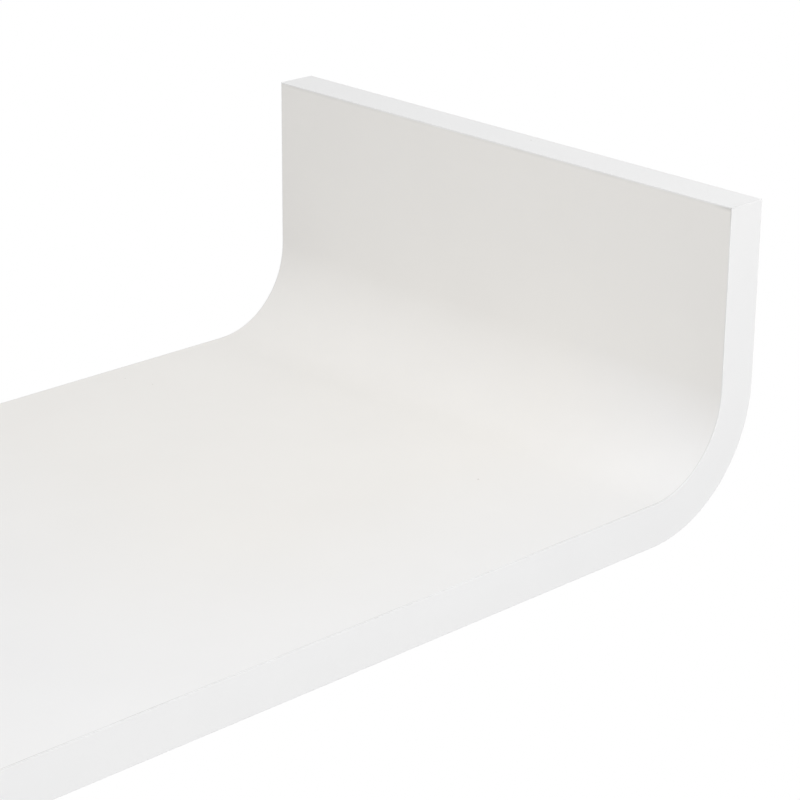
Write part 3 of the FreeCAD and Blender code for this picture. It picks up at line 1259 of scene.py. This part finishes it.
@dataclass(frozen=True, kw_only=True)
class Plug(Turned):
    """A wall plug. Places along it run from its rim to its nose.

    Two slits cut the ribbed length, at the angles in slits. edge_turn is the width of their edges and
    clear_turn the room kept free of other points beside them.
    """

    collar_radius: float = 0.004
    rib_radius: float = 0.0038
    groove_radius: float = 0.0033
    nose_radius: float = 0.003
    bore_radius: float = 0.00205
    slit_floor: float = 0.0024
    slit_width: float = 0.001
    slits: tuple[float, float] = (math.pi / 2, 1.5 * math.pi)
    rim_round: float = 0.0003
    collar: float = 0.012
    rib_pitch: float = 0.0095
    ribs: int = 2
    groove: float = 0.003
    tooth: float = 0.0013
    tooth_depth: float = 0.00035
    bore_end: float = 0.038
    length: float = 0.040
    nose_round: float = 0.0015
    nose_steps: int = 10
    around: int = 64
    ring_step: float = 0.00013
    edge_turn: float = math.radians(0.6)
    clear_turn: float = math.radians(2.4)

    @property
    def slit_half(self) -> float:
        """Half the angle that a slit takes up at the groove."""
        return math.asin(self.slit_width / 2 / self.groove_radius)

    @property
    def ribbed_length(self) -> float:
        """Length of all the ribs."""
        return self.ribs * self.rib_pitch

    def turns(self) -> Array:
        """Angles round the plug, even but for close pairs at the edges of the two slits.

        Returns:
            The angles, in order.
        """
        half, even, slits = self.slit_half, super().turns(), np.array(self.slits)
        clear = np.all(np.abs(even[:, None] - slits) > half + self.clear_turn, axis=1)
        edges = slits[:, None] + np.array([-half - self.edge_turn, -half, 0.0, half, half + self.edge_turn])
        return np.sort(np.concatenate([even[clear], edges.ravel()]))

    def ribbed(self, turn: Array) -> tuple[Array, Array]:
        """The ribbed length: grooves and saw-toothed ribs, cut by the slits down to a thin floor.

        Within a pitch the radius is the groove's, then the rib's less the tooth depth times the share of the
        way through a tooth.

        Args:
            turn: angles round the plug.

        Returns:
            Radius and place, by ring and angle.
        """
        place = np.linspace(0.0, self.ribbed_length, int(self.ribbed_length / self.ring_step))[:, None]
        in_pitch = np.mod(place, self.rib_pitch)
        tooth_share = np.mod((in_pitch - self.groove) / self.tooth, 1.0)
        rib = self.rib_radius - self.tooth_depth * tooth_share
        radius = np.where(in_pitch < self.groove, self.groove_radius, rib)
        from_slit = np.abs(turn[..., None] - np.array(self.slits)).min(axis=-1)
        radius = np.where(from_slit < self.slit_half + self.edge_turn / 2, self.slit_floor, radius)
        return radius, np.broadcast_to(self.collar + place, radius.shape)

    def outline(self, turn: Array) -> tuple[Array, Array]:
        """The whole plug: out of the bore, over the rim, along the ribs and over the nose in a quarter round.

        Args:
            turn: angles round the plug.

        Returns:
            Radius and place, by ring and angle.
        """
        rim = self.rim_round
        mouth = (
            (self.smallest_radius, self.bore_end),
            (self.bore_radius, self.bore_end),
            (self.bore_radius, rim),
            (self.bore_radius + rim, 0.0),
            (self.collar_radius - rim, 0.0),
            (self.collar_radius, rim),
            (self.collar_radius, self.collar),
        )
        quarter = np.linspace(0.0, math.pi / 2, self.nose_steps)
        round_radius = self.nose_radius - self.nose_round * (1.0 - np.cos(quarter))
        round_place = self.length - self.nose_round * (1.0 - np.sin(quarter))
        nose = (
            (self.nose_radius, self.collar + self.ribbed_length),
            *zip(round_radius, round_place),
            (self.smallest_radius, self.length),
        )
        ends = [np.array(stretch)[:, :, None] for stretch in (mouth, nose)]
        head, tail = (np.repeat(stretch, turn.size, axis=2) for stretch in ends)
        whole = np.concatenate([head, np.stack(self.ribbed(turn), axis=1), tail])
        return whole[:, 0], whole[:, 1]


@dataclass
class WallFixings:
    """The plugs in the wall and the pan-head screws that the shelf hangs on."""

    shop: Workshop
    plug: Plug = Plug()
    screw: Screw = Screw(
        head_radius=0.00375,
        crown=0.0014,
        side=0.0028,
        neck=0.0028,
        shank_radius=0.002,
        core_radius=0.00135,
        plain=0.004,
        pitch=0.0018,
        length=0.0408,
        point=0.005,
        recess_arm=0.0022,
        recess_half_width=0.0005,
        recess_depth=0.0015,
    )

    def build(self) -> None:
        """Builds the screw and the plug at each end."""
        sizes = self.shop.sizes
        for end in End:
            x, z = end.value * sizes.upright_x, sizes.hanging_height
            screw = tube_piece(end.named("hanging_screw"), [self.screw.rings(x, sizes.hanging_head_top, z)])
            self.shop.stand_in(screw, end.named("wall_screw"), "zinc_screw")
            plug = tube_piece(end.named("ribbed_plug"), [self.plug.rings(x, sizes.plug_rim, z)])
            self.shop.stand_in(plug, end.named("wall_plug"), "grey_nylon")


# Studio

WHITE = opaque((1.0, 1.0, 1.0))


@dataclass(frozen=True)
class SoftBox:
    """A square area lamp."""

    name: str
    place: Point
    width: float
    power: float
    aim: Point = (0.15, -0.1, 0.03)

    def build(self) -> None:
        """Adds the lamp, turned to its aim."""
        lamp = bpy.data.lights.new(self.name, "AREA")
        lamp.size = self.width
        lamp.energy = self.power
        made = bpy.data.objects.new(self.name, lamp)
        made.location = self.place
        made.rotation_euler = (Vector(self.aim) - Vector(self.place)).to_track_quat("-Z", "Y").to_euler()
        bpy.context.scene.collection.objects.link(made)


@dataclass(frozen=True)
class PhotoCamera:
    """The camera at the photograph's viewing angle. Angles are in degrees, the lens in millimetres."""

    place: Point = (-0.39552, -0.77628, 0.36945)
    azimuth: float = -43.864
    elevation: float = 21.040
    roll: float = 0.470
    lens: float = 120.420
    sensor: float = 36.0

    def build(self) -> None:
        """Adds the camera, tipped up from looking straight down and turned, and makes it the scene's."""
        data = bpy.data.cameras.new("photo_camera")
        data.lens = self.lens
        data.sensor_width = self.sensor
        camera = bpy.data.objects.new("photo_camera", data)
        stand = Matrix.Translation(self.place)
        for angle, axis in ((self.azimuth, "Z"), (90.0 - self.elevation, "X"), (self.roll, "Z")):
            stand = stand @ Matrix.Rotation(math.radians(angle), 4, axis)
        camera.matrix_world = stand
        bpy.context.scene.collection.objects.link(camera)
        bpy.context.scene.camera = camera


@dataclass
class Studio:
    """Pale floor far below the shelf, a white wall behind it, soft light and the photograph's camera."""

    camera: PhotoCamera = PhotoCamera()
    boxes: tuple[SoftBox, ...] = (
        SoftBox("over", (0.15, -0.1, 1.4), 0.9, 1.8),
        SoftBox("near_front", (0.15, -0.9, 0.55), 1.0, 3.6),
        SoftBox("far_front", (0.1, -1.8, 0.3), 1.4, 4.5),
        SoftBox("left", (-1.0, -0.4, 1.0), 1.2, 4.4),
    )
    half_side: float = 12.0
    wall_place: float = 0.0001
    floor_height: float = -1.4
    floor_colour: Colour = (0.75, 0.75, 0.75)
    floor_glow: float = 0.55
    sky_light: float = 0.61

    @staticmethod
    def plane(name: str, corners: list[Point], material: Material) -> Piece:
        """Adds a plane of the studio, which is no piece of the shelf.

        Args:
            name: name of the plane.
            corners: its four corners in order.
            material: its material.

        Returns:
            The plane.
        """
        mesh = bpy.data.meshes.new(name)
        mesh.from_pydata(corners, [], [(0, 1, 2, 3)])
        mesh.materials.append(material)
        made = bpy.data.objects.new(name, mesh)
        bpy.context.scene.collection.objects.link(made)
        return made

    def build_floor(self) -> None:
        """A square of pale floor that still takes the shelf's shadow and looks white from the camera."""
        material = bpy.data.materials.new("pale_floor")
        material.use_nodes = True
        wiring = Wiring(material.node_tree)
        shader = material.node_tree.nodes["Principled BSDF"].inputs
        shader["Base Color"].default_value = opaque(self.floor_colour)
        shader["Roughness"].default_value = 1.0
        shader["Emission Color"].default_value = WHITE
        wiring.join(wiring.maths("MULTIPLY", wiring.seen(), self.floor_glow), shader["Emission Strength"])
        half, z = self.half_side, self.floor_height
        corners = [(-half, -half, z), (half, -half, z), (half, half, z), (-half, half, z)]
        self.plane("floor", corners, material)

    def build_wall(self) -> None:
        """A white wall behind the shelf, seen from the front only, which hides what sits in the wall."""
        material = bpy.data.materials.new("white_wall")
        material.use_nodes = True
        wiring = Wiring(material.node_tree)
        nodes = material.node_tree.nodes
        nodes.remove(nodes["Principled BSDF"])
        white = wiring.add("ShaderNodeEmission", {"Color": WHITE, "Strength": 1.0})
        clear = wiring.add("ShaderNodeBsdfTransparent")
        from_behind = wiring.add("ShaderNodeNewGeometry").outputs["Backfacing"]
        sides = {0: from_behind, 1: white.outputs[0], 2: clear.outputs[0]}
        one_sided = wiring.add("ShaderNodeMixShader", sides)
        wiring.join(one_sided.outputs[0], nodes["Material Output"].inputs["Surface"])
        half, y, low = self.half_side, self.wall_place, self.floor_height
        corners = [(-half, y, low), (half, y, low), (half, y, half), (-half, y, half)]
        wall = self.plane("wall", corners, material)
        for ray in ("diffuse", "glossy", "transmission", "volume_scatter", "shadow"):
            setattr(wall, f"visible_{ray}", False)

    def build_sky(self) -> None:
        """White behind the shelf and in reflections, and an even light on everything else."""
        world = bpy.data.worlds.new("studio")
        world.use_nodes = True
        wiring = Wiring(world.node_tree)
        background = world.node_tree.nodes["Background"].inputs
        background["Color"].default_value = WHITE
        wiring.join(wiring.spread(wiring.seen(), 0.0, 1.0, self.sky_light, 1.0), background["Strength"])
        bpy.context.scene.world = world

    def build(self) -> None:
        """Builds the floor, the wall, the light and the camera."""
        self.build_floor()
        self.build_wall()
        self.build_sky()
        for box in self.boxes:
            box.build()
        self.camera.build()
        bpy.context.scene.view_settings.view_transform = "Standard"


def main() -> None:
    """Builds the shelf and its studio."""
    logging.basicConfig(level=logging.INFO, format="%(message)s")
    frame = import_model()
    sizes = ShelfSizes.from_frame()
    groups = SurfaceGroups()
    materials = {name: finish.material(groups) for name, finish in shelf_finishes(sizes).items()}
    shop = Workshop(frame["nodes"], sizes, materials)
    for assembly in (FaceSheets, EdgeBands, CoreBoards, HangerPlates, WallFixings):
        assembly(shop).build()
    Studio().build()


if __name__ == "__main__":
    main()
